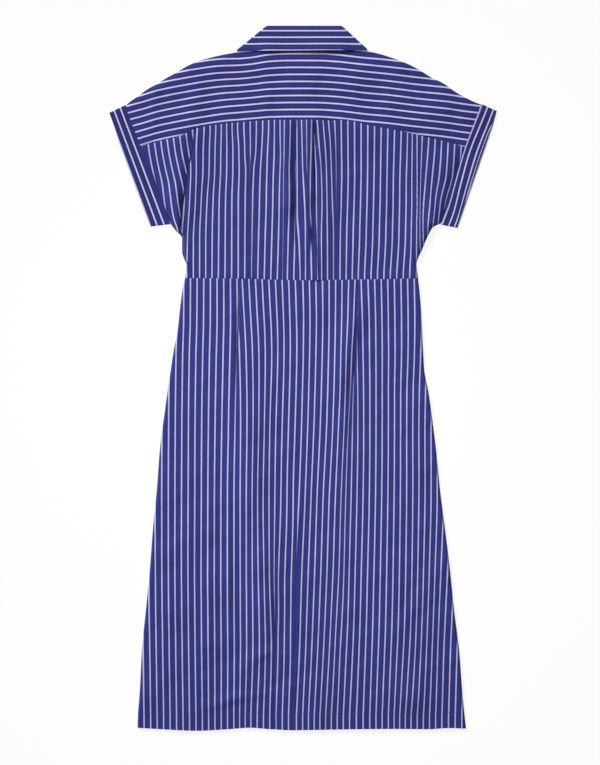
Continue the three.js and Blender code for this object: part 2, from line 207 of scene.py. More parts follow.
SKIRT_FOLDS = [
    [233, 325, 231, 388, 13, 4, 2.0], [350, 336, 341, 378, 12, 8, 4.6], [342, 386, 343, 420, 11, 8, 2.8],
    [251, 440, 252, 490, 12, 6, 2.2], [246, 420, 262, 560, 24, 24, 5.2], [343, 445, 344, 486, 10, 5, 1.3],
    [258, 566, 263, 630, 13, 9, 1.6], [269, 590, 273, 648, 8, 4, 1.6], [213, 706, 236, 699, 7, 4, 1.7],
    [236, 698, 262, 694, 6, 4, 0.9], [250, 665, 261, 656, 8, 4, 1.4], [261, 656, 276, 654, 7, 4, 1.0],
    [446, 556, 404, 622, 9, 6, 1.5], [444, 584, 424, 606, 6, 4, 0.9], [394, 610, 416, 716, 26, 30, 4.5],
    [213, 478, 210, 640, 5, 4, 1.3], [228, 486, 230, 604, 5, 4, 1.4], [190, 500, 187, 622, 6, 5, 0.9],
    [239, 500, 243, 560, 5, 4, 0.5], [309, 684, 322, 716, 7, 4, 1.1], [392, 676, 404, 702, 7, 5, 1.0],
    [172, 606, 163, 700, 8, 6, 0.7], [370, 380, 384, 470, 14, 10, 0.8], [206, 300, 212, 392, 13, 10, 0.8],
    [328, 300, 326, 360, 12, 9, 0.7], [294, 500, 297, 610, 10, 8, 0.8], [292, 690, 290, 722, 5, 4, 1.0],
    [349, 560, 356, 640, 10, 7, 0.9], [416, 420, 424, 520, 12, 8, 0.9],
]
BODICE_FOLDS = [
    [280, 126, 280, 205, 12, 13, 4.2], [287.5, 128, 288.5, 205, 5, 6, 4.9],
    [288, 208, 290, 240, 5, 5, 2.6], [320, 135, 323, 240, 4, 13, 3.0], [270, 124, 273, 146, 6, 3, 2.2],
    [307.5, 126, 308.5, 228, 9, 4, 4.6], [311, 236, 314, 268, 6, 4, 2.2], [196, 150, 190, 225, 5, 9, 1.6],
    [226, 122, 229, 150, 4, 3, 0.8], [236, 122, 240, 146, 4, 3, 1.0], [247, 121, 249, 150, 4, 3, 0.9],
    [257, 121, 256, 142, 4, 3, 0.7], [383, 178, 389, 226, 7, 4, 1.0], [352, 188, 358, 238, 7, 5, 0.8],
    [444, 182, 432, 220, 18, 7, 2.9], [311, 118, 313, 186, 4, 7, 3.0], [317, 222, 319, 276, 5, 6, 1.9],
    [429, 196, 433, 226, 5, 3, 1.5], [417, 150, 418, 240, 5, 3.5, 1.0], [409, 176, 412, 262, 5, 4, 0.8],
    [185, 140, 178, 200, 16, 5, 4.6], [175, 198, 178, 224, 8, 5, 4.6], [192, 222, 204, 182, 8, 5, 0.7],
    [163, 202, 170, 220, 4, 3, 1.7], [170, 205, 177, 227, 4, 3, 1.9], [177, 192, 179, 222, 3, 3, 1.6],
    [204, 268, 216, 250, 5, 4, 0.8], [398, 268, 388, 254, 5, 4, 0.8], [337.5, 205, 336, 252, 3, 2.5, 1.0],
    [316.8, 150, 320, 184, 2, 2, 0.9], [283.5, 196, 282, 262, 3, 2.5, 0.7],
    [307, 152, 308.5, 246, 2.5, 2, 0.7], [250, 150, 244, 240, 12, 10, 0.9],
    [365, 130, 372, 190, 10, 8, 0.8], [232, 266, 240, 276, 4, 3, 0.7], [262, 268, 266, 277, 3, 3, 0.6],
    [342, 268, 347, 277, 3, 3, 0.6],
]
YOKE_FOLDS = [
    [269, 74, 272, 122, 8, 3, 0.9], [197, 92, 188, 128, 10, 6, 1.1], [404, 92, 418, 124, 10, 7, 1.0],
    [262, 60, 256, 74, 7, 5, 0.8], [338, 58, 346, 74, 7, 5, 0.8], [156, 104, 150, 132, 8, 6, 0.7],
    [446, 96, 452, 128, 8, 6, 0.7],
]
FRONT_FOLDS = [
    [232, 300, 238, 372, 9, 6, 1.0], [214, 420, 220, 505, 10, 7, 1.1], [190, 560, 232, 545, 9, 6, 0.9],
    [176, 668, 215, 655, 8, 5, 1.0], [246, 600, 250, 690, 10, 6, 0.8], [362, 318, 356, 392, 9, 6, 1.1],
    [388, 452, 382, 540, 11, 7, 1.0], [356, 590, 392, 612, 9, 6, 0.9], [402, 655, 436, 640, 8, 5, 1.1],
    [352, 660, 348, 715, 8, 5, 0.8], [205, 246, 236, 232, 8, 5, 1.2], [238, 180, 246, 214, 8, 5, 0.9],
    [398, 250, 370, 238, 8, 5, 1.2], [362, 176, 356, 210, 8, 5, 0.9], [168, 196, 206, 168, 9, 6, 1.1],
    [438, 192, 404, 166, 9, 6, 1.1],
]
DARTS = [
    [239.8, 280, 237.2, 352, 1.1, 1.1, 0.45], [358.4, 280, 355.2, 345, 1.2, 1.2, 0.5],
]
FACING_LIGHT = (-0.6, 0.8)
FOLD_FADE = 1.2  # how far a fold fades out past its ends, for its width
RIPPLE = {"count": 70, "shortest": 14, "longest": 85, "height": 0.0018}  # height for its length

# The back bridges the hollows beside the button bands, level with the cloth over them. It comes down within a
# narrow edge at the sides of the body, and slowly over the sleeves.
PLATEAU = 3.6
PUFF = 1.2  # how much higher the cloth lies inside than at its edges
BODY_EDGE = 3
SLEEVE_EDGE = 11
SLEEVE_FALL = {"left": 60, "right": 95}  # widths over which the sleeves fall away
SLEEVE_SPARED = {"left": 0.45, "right": 0.2}  # how much of that fall the sleeves are spared
HEM_LEVEL = 0.7  # how much of the height is left at the hem


def from_photo(px, py):
    return (px - PHOTO_ORIGIN[0]) * MM_PER_PX, (PHOTO_ORIGIN[1] - py) * MM_PER_PX


def folds_at(folds, x, y):
    """Height of all the folds at a place, each fading out past its ends."""
    height = np.zeros_like(x)
    for px1, py1, px2, py2, lit, shade, rise in folds:
        x1, y1 = from_photo(px1, py1)
        x2, y2 = from_photo(px2, py2)
        dx, dy = x2 - x1, y2 - y1
        length = math.hypot(dx, dy)
        along = ((x - x1) * dx + (y - y1) * dy) / length
        off = ((x - x1) * dy - (y - y1) * dx) / length
        if dy * FACING_LIGHT[0] - dx * FACING_LIGHT[1] < 0:
            off = -off
        past = np.maximum(np.maximum(-along, along - length), 0)
        side = np.where(off > 0, lit, shade) * MM_PER_PX
        height = height + rise * bell(off, side) * bell(past, FOLD_FADE * (lit + shade) * MM_PER_PX)
    return height


def ripples(x, y, seed=11):
    """Slight unevenness of washed cotton: many faint waves in all directions."""
    rng = np.random.default_rng(seed)
    height = np.zeros_like(x)
    for _ in range(RIPPLE["count"]):
        length = rng.uniform(RIPPLE["shortest"], RIPPLE["longest"])
        turn = rng.uniform(0, math.pi)
        phase = rng.uniform(0, 2 * math.pi)
        along = x * math.cos(turn) + 0.8 * y * math.sin(turn)
        height = height + RIPPLE["height"] * length * np.sin(2 * math.pi * along / length + phase)
    return height


def sleeve_share(y):
    """0 where the dress is only body and 1 where it reaches out into the sleeves."""
    return ease(235, 300, y)


def under_collar(x, y):
    return ease(126, 106, abs(x)) * ease(510, 534, y)


def plateau_at(x, y):
    """1 inside the dress and 0 at its edges, falling away slowly over the sleeves."""
    sleeve = sleeve_share(y)
    level = mix(HEM_LEVEL, 1, ease(0, 130, y - hem(x)))
    for side, spared in SLEEVE_SPARED.items():
        inwards = OUTWARD[side] * (SIDES[side](y) - x)
        fall = ease(0, 1, inwards / mix(BODY_EDGE, SLEEVE_FALL[side], sleeve))
        level = level * mix(fall, 1, spared * sleeve)
    return level * ease(-6, 10, shoulder(x) - y) * (1 - 0.6 * under_collar(x, y))


def back_height(x, y, folds):
    """Middle of the back's cloth."""
    low = back_low(x, y)
    raised = np.maximum(low, LAYER + PLATEAU * plateau_at(x, y))
    edge = mix(BODY_EDGE, SLEEVE_EDGE, sleeve_share(y))
    from_side = np.minimum(x - left_side(y), right_side(y) - x)
    inside = ease(0, 1, from_side / edge) * ease(-8, 66, y - hem(x))
    puff = PUFF * (1 - under_collar(x, y))
    return raised + CLOTH / 2 + np.maximum(inside * (puff + ripples(x, y) + folds_at(folds, x, y)), 0)


# Cloth meshes

def in_scene(name, data):
    """A new object of the scene: a piece, a lamp or the camera."""
    thing = bpy.data.objects.new(name, data)
    bpy.context.scene.collection.objects.link(thing)
    return thing


def mesh_piece(name, points, faces, sharp=None):
    """A piece from points in millimetres, smooth save at edges that turn by more than the angle sharp."""
    mesh = bpy.data.meshes.new(name)
    mesh.from_pydata(np.array(points) * MM, [], faces)
    if sharp is not None:
        mesh.shade_smooth()
        mesh.set_sharp_from_angle(angle=math.radians(sharp))
    return in_scene(name, mesh)


def wall_around(grid, thickness, ring):
    """Points and faces of a closed wall around grid[v, u]. A ring's last column joins its first."""
    high, wide = grid.shape[:2]
    if ring:
        across = np.roll(grid, -1, 1) - np.roll(grid, 1, 1)
    else:
        across = np.gradient(grid, axis=1)
    out = np.cross(across, np.gradient(grid, axis=0))
    out /= np.maximum(np.linalg.norm(out, axis=2, keepdims=True), 1e-9)
    upper, lower = (grid + sign * out * thickness / 2 for sign in (1, -1))
    index = np.arange(high * wide).reshape(high, wide)
    if ring:
        index = np.concatenate([index, index[:, :1]], axis=1)
    a, b, c, d = index[:-1, :-1], index[:-1, 1:], index[1:, 1:], index[1:, :-1]
    low = high * wide
    faces = [np.stack([a, b, c, d], -1).reshape(-1, 4), np.stack([d, c, b, a], -1).reshape(-1, 4) + low]
    rims = [(index[0, 1:], index[0, :-1]), (index[-1, :-1], index[-1, 1:])]
    if not ring:
        rims += [(index[:-1, 0], index[1:, 0]), (index[1:, -1], index[:-1, -1])]
    faces += [np.stack([p, q, q + low, p + low], -1) for p, q in rims]
    return np.concatenate([upper.reshape(-1, 3), lower.reshape(-1, 3)]), np.concatenate(faces)


def cloth_piece(name, grid, weave, wall=SHELL, ring=False, tuck_and_painted_shade=None, sewn=None):
    """A thin wall around grid[v, u]. Each point has its place in the weave, how deep it lies in a tuck with the
    painted shade of folds and creases, and its distance from a sewn edge with the place along it."""
    points, faces = wall_around(grid, wall, ring)
    piece = mesh_piece(name, points, faces.tolist(), sharp=60)
    maps = {"weave": weave}
    if sewn is not None:
        maps["sewn"] = sewn
    for label, values in maps.items():
        layer = piece.data.uv_layers.new(name=label)
        both_faces = np.concatenate([values.reshape(-1, 2)] * 2) * MM
        layer.uv.foreach_set("vector", both_faces[faces.ravel()].astype(np.float32).ravel())
    if tuck_and_painted_shade is not None:
        depth = piece.data.attributes.new("tuck_and_painted_shade", "FLOAT", "POINT")
        depth.data.foreach_set("value", np.concatenate([tuck_and_painted_shade.ravel()] * 2).astype(np.float32))
    return piece


def laid(piece, *under):
    """Returns the piece as it is. What it lies on is not used."""
    return piece


def dress(piece, material, *nodes, slot="striped_cloth"):
    """Gives a piece its material, its body and the CAD nodes that it stands for."""
    piece.data.materials.append(material)
    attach(piece, "root")
    if nodes:
        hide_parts(*nodes)
    return piece


def close_to(rails, steps, pull=0.65):
    """Fractions from 0 to 1, closer together towards the ends named in rails."""
    t = np.linspace(0, 1, steps + 1)
    if rails == "start end":
        return mix(t, t * t * (3 - 2 * t), pull)
    if rails == "start":
        return mix(t, t * t, pull)
    return mix(t, 1 - (1 - t) ** 2, pull)


def span(left, right, low, high, us, vs):
    """Plan of a flat panel: x[v, u] and y[v, u]. Left and right are each x at a height and the heights of its
    two ends, and low and high are each y at a place."""
    (x_left, *y_left), (x_right, *y_right) = left, right
    low_x, high_x = (mix(x_left(y_left[k]), x_right(y_right[k]), us) for k in (0, 1))
    sides = x_left(mix(*y_left, vs)), x_right(mix(*y_right, vs))
    y = mix(low(low_x), high(high_x), vs[:, None])
    return mix(sides[0][:, None], sides[1][:, None], us), y


def in_order(side, outer, inner):
    """The left one and the right one of two things of one side of the dress."""
    return (outer, inner) if side == "left" else (inner, outer)


def stripes_at(cloth, x, y):
    """How far the stripes have moved to the right, by a slow lean and by the cloth that tucks take up, and how
    deep in a tuck a place is: up to 1 the stripes fade, partly for cloth taken up and partly as painted shade,
    and beyond it the blue darkens as painted shade."""
    heights, places = cloth["heights"], cloth["places"]
    leans = [smooth(heights, column, y) for column in np.array(cloth["lean"], float).T]
    moved = leans[0]
    for i in range(len(places) - 1):
        moved = mix(moved, leans[i + 1], np.clip((x - places[i]) / (places[i + 1] - places[i]), 0, 1))
    deep = np.zeros_like(x)
    for tuck in cloth["tucks"]:
        at, takes, half = (smooth(heights, tuck[name], y) for name in ("at", "takes", "half"))
        moved = moved + takes * ease(-1, 1, (x - at) / half)
        inside = np.clip(-takes / (5 * half), 0, 1) * bell(x - at, 0.9 * half + 0.9)
        deep = np.maximum(deep, np.minimum(1.6 * inside, 1) + tuck.get("dark", 0) * inside)
    for gap_x, gap_y, wide, long in cloth.get("gaps", []):
        deep = np.maximum(deep, np.minimum(1.5 * bell(x - gap_x, wide) * bell(y - gap_y, long), 1))
    return moved, deep


# How the stripes of each piece stray from straight lines. The lean is to the right, a row for each height and a
# column for each place across. A tuck, such as a dart, takes cloth up along a line, within half its width.
# In a gap the stripes fade, as painted shade of a small crease: its x and y, and how wide and long it is. A
# tuck's dark is painted shade that it adds inside itself.

SKIRT_LEFT = {
    "start": -174.9,
    "heights": [-558, -440, -380, -321, -202, -83, 35, 95, 162],
    "places": [-253, -175, -111, -88, -68, -53, -42, -19],
    "lean": [
        [0, -2, -5.5, -10, -11, -12, -12.5, -14],
        [-1.5, -3.5, -4.5, -6.5, -7, -9, -9, -10.5],
        [-2.5, -4, -5, -6.5, -8, -11, -13, -15],
        [-3, -4.5, -5, -7, -9.5, -13, -16.5, -17],
        [-3.5, -4, -5, -7, -11.5, -13.5, -15, -17],
        [-3, -3.5, -3, -4, -7.5, -10.5, -11.5, -12.5],
        [-2, -2, -0.5, -1, -2, -2.5, -3.5, -5],
        [0, -0.5, 0.5, 0, 0, 0, -0.5, -1.5],
        [0, 0, 0, 0, 0, 0, 0, 0],
    ],
    "tucks": [
        {"at": [-108, -108, -108, -108, -108, -109, -109, -107, -105],
         "half": [9, 9, 9, 9, 9, 6, 1.2, 0.3, 0.3],
         "takes": [0, 0, 0, 0, 0, -1.5, -6, -10, -13.5]},
        {"at": [-48, -48, -47, -46, -46, -46, -46, -46, -46], "half": [1.5, 1.5, 4, 8, 9, 9, 9, 9, 9],
         "takes": [-11, -11, -6, -3, 0, 0, 0, 0, 0]},
    ],
}
SKIRT_RIGHT = {
    "start": -188.4,
    "heights": [-558, -440, -321, -202, -83, -24, 35, 95, 162],
    "places": [-5.5, 21, 44, 61, 77, 93, 110, 143, 176, 226],
    "lean": [
        [-20, -24, -28, -30, -31, -30.5, -30.5, -33, -39, -43],
        [-14.5, -17, -20, -24, -25, -26, -26.5, -28, -30.5, -39.5],
        [-11, -12, -14, -15.5, -19, -20.5, -21.5, -23, -24.5, -32],
        [-5, -8, -10, -11.5, -14.5, -16.5, -17.5, -20, -22, -26.5],
        [-0.5, -2.5, -3.5, -6, -9.5, -13, -14.5, -17, -20, -24.5],
        [1, -0.5, -1.5, -3, -7.5, -12.5, -13.5, -16, -18.5, -22],
        [2.5, 1, 0, -1.5, -5.5, -8.5, -9, -10.5, -11.5, -14],
        [3, 2, 1, 0, -1.5, -4.5, -4, -5.5, -5.5, -5.5],
        [1.5, 1, 1, 0.5, 0.5, -0.5, 0, -0.5, -0.5, -0.5],
    ],
    "tucks": [
        {"at": [60, 60, 62, 66, 74, 80, 86.5, 88, 91], "half": [14, 12, 10, 9, 7, 5, 1.2, 0.4, 0.3],
         "takes": [0, 0, -2, -3, -5, -6, -11, -16.5, -22.5]},
    ],
}
BODICE_START = -108.1
SLEEVE_LEFT = {
    "heights": [171, 240, 262, 282, 301, 319, 344, 369, 394, 422],
    "places": [-260, -190],
    "lean": [
        [47.3, 47.3], [45, 44], [38, 37.5], [33, 34.5], [31, 32], [29, 29.2], [23.6, 23.4], [19, 18],
        [15.5, 14.5],
        [11.5, 12],
    ],
    "tucks": [],
}
BODY_LEFT = {
    "heights": [168, 227, 293, 342, 372, 408],
    "places": [-197, -186, -177, -160, -140, -110, -60, -40, -22],
    "lean": [
        [3.5, 3.5, 3.5, 2, 1, 1, 0, -0.5, -1.5],
        [6, 4, 3.5, 2, 1.5, 1, 1, 1, -0.5],
        [11, 8.5, 7, 4.5, 2.5, 1, 2.5, 2, 1],
        [12, 10.8, 8.5, 8.5, 5, 2.5, 2, 2, -1],
        [9, 8.7, 8.5, 9, 5.5, 2.5, -4, -4, -7.5],
        [10, 10, 10, 10.5, 7, 0, -3, -6.5, -9],
    ],
    "tucks": [
        {"at": [-89, -89, -89, -88, -86, -86], "half": [3, 3, 3, 3, 4, 4],
         "takes": [-11, -10.5, -10, -8.5, -1.5, 0]},
        {"at": [-34] * 6, "half": [2.5] * 6, "takes": [-4.5, -4.5, -4.5, -4.5, -4, -3]},
    ],
}
STRIP = {
    "heights": [171, 222, 245, 270, 319, 345, 424],
    "places": [-11, -5, 3, 6.5, 12, 22],
    "lean": [
        [-16.5, -17.5, -19.5, -20, -20.5, -21],
        [-20, -19, -19.5, -20.5, -21.5, -22],
        [-21.5, -20, -19.5, -20, -21, -21],
        [-22.5, -22, -20, -21.5, -23, -23],
        [-22.5, -22.5, -23, -24.5, -25, -26],
        [-22.5, -23, -25.5, -28.5, -29.5, -30],
        [-22.5, -25.5, -28, -29.5, -30, -31],
    ],
    # the tuck's dark is painted shade in the pleat's fold, and the gap's fade is painted shade of a small
    # crease
    "tucks": [{"at": [8] * 7, "half": [1.3] * 7, "takes": [-11, -11, -11, -11, -9, -4, -1.5], "dark": 0.3}],
    "gaps": [[12.4, 234, 3.2, 19]],
}
BODY_RIGHT = {
    "heights": [171, 235, 285, 334, 375, 424],
    "places": [16, 24, 30, 39, 48, 62, 95, 171, 188, 196, 209, 234, 258],
    "lean": [
        [-31.5, -33, -37, -38, -39, -40, -43, -45.5, -45.5, -46.5, -46.5, -46.5, -46.5],
        [-33.5, -34, -37.5, -38.5, -39, -40, -41, -42, -46, -56.5, -62, -70.5, -78],
        [-34, -35, -36, -39, -41, -42, -43, -44.5, -48.2, -59.5, -60, -67.5, -73],
        [-34, -35, -37.5, -40, -43, -44, -45, -47, -51.2, -58, -59, -58, -59],
        [-34.5, -40, -41, -42, -45, -46.5, -47, -47.5, -53.5, -57, -57, -57.3, -57.5],
        [-44, -44.5, -45, -47.5, -48.5, -48.5, -48.5, -47.5, -55, -55.5, -56, -56.5, -56.5],
    ],
    "tucks": [{"at": [53.5] * 6, "half": [2.2] * 6, "takes": [-10.5, -10, -6.5, -3.5, -1.5, 0]}],
}
YOKE_PITCH = 11.6
YOKE_START = 429.9
yoke_drop = curve([
    [-292, 40.5], [-266, 34], [-236, 25.5], [-184, 15.5], [-131, 7], [-104, 4.6], [-80, 2.6], [-55, 0.6],
    [-25, 0], [28, 0.3], [55, 1.9], [80, 4.6], [100, 7], [133, 10], [186, 16.3], [239, 21.8], [270, 26],
    [293, 28.5],
])


def seam_dip(off, width, depth):
    """The cloth dips into a seam at off = 0."""
    return -depth * bell(off, width)


# Back skirt

SKIRT_STRIPES = {"left": SKIRT_LEFT, "right": SKIRT_RIGHT}
SKIRT_GRID = {"columns": 163, "rows": 295}
HEM_WAVES_Y = -580


def skirt_waves(x, y):
    """Small waves along the hem, where the turned cloth lies unevenly, and puckers under the waist seam."""
    at_hem = 0.25 * np.sin(x / 17.0 + 1.3 * np.sin(x / 41.0)) * bell(y - HEM_WAVES_Y, 22)
    at_waist = 0.2 * np.sin(x / 6.1 + 0.8 * np.sin(x / 23.0)) * bell(y - waist(x), 12)
    return at_hem + at_waist


def back_skirt(side):
    us = close_to("start end", SKIRT_GRID["columns"], 0.45)
    vs = np.linspace(0, 1, SKIRT_GRID["rows"])
    outer = SIDES[side], HEM_Y[side], WAIST_Y[side]
    inner = (lambda y: centre_back(y) + OUTWARD[side] * SLIT), HEM_Y["middle"], WAIST_Y["middle"]
    x, y = span(*in_order(side, outer, inner), hem, below_waist, us, vs)
    z = back_height(x, y, SKIRT_FOLDS) - folds_at(DARTS, x, y)
    z += seam_dip(x - centre_back(y), 1.6, 0.3) + seam_dip(y - waist(x), 1.8, 0.6)
    z += skirt_waves(x, y)
    stripes = SKIRT_STRIPES[side]
    moved, deep = stripes_at(stripes, x, y)
    z -= TUCK_DEPTH * np.minimum(deep, 1)
    weave = together(x - moved - stripes["start"], y)
    hemmed = together(y - hem(x) - HEM_STITCH, x)
    return cloth_piece(f"skirt_{side}", together(x, y, z), weave, tuck_and_painted_shade=deep, sewn=hemmed)


# Back bodice with its sleeves, in four stretches joined by folds

pleat_left_edge = curve([[160, -12.5], [230, -12.9], [300, -12], [395, -12], [424, -9.8]])
pleat_right_edge = curve([[160, 24.3], [227, 21], [268, 18.5], [310, 16.8], [375, 16], [424, 17]])
armhole = curve([
    [163, -191.5], [184, -189.5], [207, -196], [230, -196.5], [243, -200.8], [281, -197.4], [309, -193.6],
    [334, -189.6], [358, -185.2], [379, -180.4], [400, -178.2], [424, -175.5],
])
LINE_ENDS = (163.0, 424)  # where each of these lines meets the waist and the yoke
BODICE_ROWS = 130
FOLD_TURN = 6  # steps round each of the two turns of a fold
# How crisp each fold is at a height, from 0 where the cloth lies flat to 1, and how deep it reaches
ARM_FOLD = {
    "crisp": lambda y: ease(236, 262, y) * ease(424, 392, y),
    "depth": lambda y: 5.5 * ease(236, 300, y) * ease(424, 370, y),
}
PLEAT_LEFT_FOLD = {"crisp": lambda y: ease(205, 236, y), "depth": lambda y: 5.4 * ease(226, 300, y)}
PLEAT_RIGHT_FOLD = {
    "crisp": lambda y: mix(0.45, 1, ease(170, 250, y)),
    "depth": lambda y: 5.0 * ease(380, 424, y),
}
FOLD_SHADE = 1.6  # painted shade inside a crisp fold: how dark the cloth is painted there


def bodice_waves(x, y):
    """Puckers where the bodice is sewn to the yoke and the waist, and dips into those seams."""
    top = y - yoke_seam(x)
    low = y - waist(x)
    pucker = 0.16 * np.sin(x / 4.3 + 1.1 * np.sin(x / 19.0)) * bell(top, 9)
    pucker += 0.3 * np.sin(x / 9.0 + 1.7 * np.sin(x / 31.0)) * bell(low - 6, 12)
    return pucker + seam_dip(top, 2.2, 0.8) + seam_dip(low, 1.8, 0.45)


def under_cuff(y):
    """The sleeve's end reaches a little way under the cuff."""
    return 1.5 * ease(256, 262, y)


def side_line(side, vs):
    """The bodice's side from the waist to the yoke: x and y by row."""
    low, high = WAIST_Y[side], YOKE_Y[side]
    y = mix(low, high, vs)
    return SIDES[side](y) + OUTWARD[side] * under_cuff(y), mix(low + SLIT, high - SLIT, vs)


def inner_line(x_at, vs):
    """A line of the bodice from the waist to the yoke: x and y by row."""
    foot, head = x_at(LINE_ENDS[0]), x_at(LINE_ENDS[1])
    y = mix(above_waist(foot), yoke_seam(head) - SLIT, vs)
    return x_at(y), y


def stretch(a, b, us, stripes, vs):
    """The cloth between two lines: x, y, the place across the stripes, and how deep in a tuck it is."""
    (x_a, y_a), (x_b, y_b) = a, b
    x = mix(x_a[:, None], x_b[:, None], us)
    low = above_waist(mix(x_a[0], x_b[0], us)) - mix(y_a[0], y_b[0], us)
    top = yoke_seam(mix(x_a[-1], x_b[-1], us)) - SLIT - mix(y_a[-1], y_b[-1], us)
    y = mix(y_a[:, None], y_b[:, None], us) + mix(low, top, vs[:, None])
    moved, deep = stripes_at(stripes, x, y)
    return x, y, x - moved - BODICE_START, deep


# Adds a mask of painted shade to a stretch's depth in tucks.
def darkened(part, shade):
    x, y, across, deep = part
    return x, y, across, np.maximum(deep, shade)


def sleeve_shade(x, y, arm_x):
    """Painted shade on the left sleeve: its stripes fade beside its cuff and low on its side, and its blue
    darkens beside the armhole's fold.
    """
    beside_cuff = ease(mix(2.4, 4.2, ease(280, 310, y)), 0.8, x - left_side(y)) * ease(250, 270, y)
    low_side = ease(243, 231, y) * ease(186, 198, y)
    beside_fold = ease(4.8, 0.3, arm_x - x) * ease(236, 262, y) * ease(424, 385, y)
    return np.maximum(np.maximum(beside_cuff, low_side), 1.75 * beside_fold)


def stretch_columns(part, raised):
    """Columns of points through a stretch, so much above the back's own height."""
    x, y, across, deep = part
    z = back_height(x, y, BODICE_FOLDS) + raised + bodice_waves(x, y) - TUCK_DEPTH * np.minimum(deep, 1)
    return [tuple(values[:, i] for values in (x, y, z, across, deep)) for i in range(x.shape[1])]


def fold_columns(before, after, fold, upper_on_right):
    """Columns of points through a fold: under the upper stretch, back, and up onto it."""
    lower, last = (before, -1) if upper_on_right else (after, 0)
    x, y = lower[0][:, last], lower[1][:, last]
    z = back_height(x, y, BODICE_FOLDS) + bodice_waves(x, y)
    crisp, depth = fold["crisp"](y), fold["depth"](y)
    half = LAYER / 2
    run = []
    for k in range(2 * FOLD_TURN + 1):
        inner = k < FOLD_TURN
        angle = math.pi * (k if inner else k - FOLD_TURN) / FOLD_TURN
        out = depth + half * math.sin(angle) if inner else -half * math.sin(angle)
        if k == FOLD_TURN:
            out = depth / 2
        up = (half if inner else 3 * half) - half * math.cos(angle)
        run.append((x + (1 if upper_on_right else -1) * out * crisp, z + up * crisp))
    if not upper_on_right:
        run.reverse()
    start, end = before[2][:, -1], after[2][:, 0]
    # Inside the fold the cloth carries painted shade, as strong as the fold is crisp.
    return [(run_x, y, run_z, mix(start, end, k / (len(run) - 1)), crisp * FOLD_SHADE)
            for k, (run_x, run_z) in enumerate(run)]


def back_bodice():
    vs = np.linspace(0, 1, BODICE_ROWS)
    left, right = side_line("left", vs), side_line("right", vs)
    inner = armhole, pleat_left_edge, pleat_right_edge
    arm, pleat_left, pleat_right = (inner_line(x_at, vs) for x_at in inner)
    sleeve = stretch(left, arm, close_to("end", 64), SLEEVE_LEFT, vs)
    sleeve = darkened(sleeve, sleeve_shade(sleeve[0], sleeve[1], arm[0][:, None]))
    body_left = stretch(arm, pleat_left, close_to("start end", 84), BODY_LEFT, vs)
    strip = stretch(pleat_left, pleat_right, close_to("start end", 20), STRIP, vs)
    body_right = stretch(pleat_right, right, close_to("start", 120), BODY_RIGHT, vs)
    x, y = body_right[:2]
    # Painted shade: the stripes fade beside the right cuff.
    beside_cuff = ease(3.4, 1.8, right_side(y) - x) * ease(250, 270, y) * ease(372, 360, y)
    body_right = darkened(body_right, beside_cuff)

    x, y = body_left[:2]
    over_arm = ARM_FOLD["crisp"](y) * ease(26, 0, x - armhole(y))
    y = strip[1]
    across = np.linspace(0, 1, y.shape[1])
    over_pleat = mix(PLEAT_LEFT_FOLD["crisp"](y), PLEAT_RIGHT_FOLD["crisp"](y), across)
    columns = stretch_columns(sleeve, 0)
    columns += fold_columns(sleeve, body_left, ARM_FOLD, True)
    columns += stretch_columns(body_left, 2 * LAYER * over_arm)
    columns += fold_columns(body_left, strip, PLEAT_LEFT_FOLD, True)
    columns += stretch_columns(strip, 2 * LAYER * over_pleat)
    columns += fold_columns(strip, body_right, PLEAT_RIGHT_FOLD, False)
    columns += stretch_columns(body_right, 0)
    x, y, z, across, deep = (np.stack(part, axis=1) for part in zip(*columns))
    return cloth_piece("bodice", together(x, y, z), together(across, y), tuck_and_painted_shade=deep)


# Yoke

def yoke():
    us = np.linspace(0, 1, 260)
    vs = np.linspace(0, 1, 70)
    left = (lambda y: left_side(y) - under_cuff(y)), YOKE_Y["left"], TOP_Y["left"]
    right = (lambda y: right_side(y) + under_cuff(y)), YOKE_Y["right"], TOP_Y["right"]
    x, y = span(left, right, lambda x: yoke_seam(x) + SLIT, shoulder, us, vs)
    over_pleat = ease(60, 18, abs(x - 2.5)) * ease(470, 424, y)
    over_arm = bell(x - armhole(LINE_ENDS[1]), 14) * ease(450, 412, y)
    z = back_height(x, y, YOKE_FOLDS) + 2 * LAYER * over_pleat
    z += seam_dip(y - yoke_seam(x), 2.0, 0.5) + 1.2 * over_arm
    drop = yoke_drop(x) + 4.2 * bell(x + 100, 42) * ease(430, 545, y)
    across = (y - YOKE_START + drop) * STRIPE_PITCH / YOKE_PITCH
    return cloth_piece("yoke", together(x, y, z), together(across, x), sewn=together(y - yoke_seam(x), x))


# Collar and cuffs: strips that turn back under themselves

STRIP_TURN = 10  # steps round each turn of a strip


def line(start, end):
    start, end = np.array(start, float), np.array(end, float)
    return lambda v: mix(start[None, :], end[None, :], np.asarray(v)[:, None])


def level(height):
    return lambda v: height + 0 * v


def strip_grid(legs, vs, closed=False):
    """Points of a strip whose legs run from a(v) to b(v) at the height z(v), turning from each to the next."""
    columns = []
    for i, (a, b, z, steps) in enumerate(legs):
        first = 1 if (i > 0 or closed) else 0
        for k in range(first, steps + 1):
            columns.append(np.column_stack([mix(a(vs), b(vs), k / steps), z(vs)]))
        if i + 1 == len(legs) and not closed:
            break
        following = legs[(i + 1) % len(legs)]
        joint = b(vs)
        fold = joint[-1] - joint[0]
        away = np.array([fold[1], -fold[0]]) / np.linalg.norm(fold)
        if np.dot(away, a(vs)[0] - joint[0]) > 0:
            away = -away
        middle = (z(vs) + following[2](vs)) / 2
        radius = (following[2](vs) - z(vs)) / 2
        for k in range(1, STRIP_TURN + 1):
            angle = math.pi * k / STRIP_TURN
            out = np.abs(radius) * math.sin(angle)
            z_turn = middle - radius * math.cos(angle)
            columns.append(np.column_stack([joint + away * out[:, None], z_turn]))
    return np.stack(columns, axis=1)


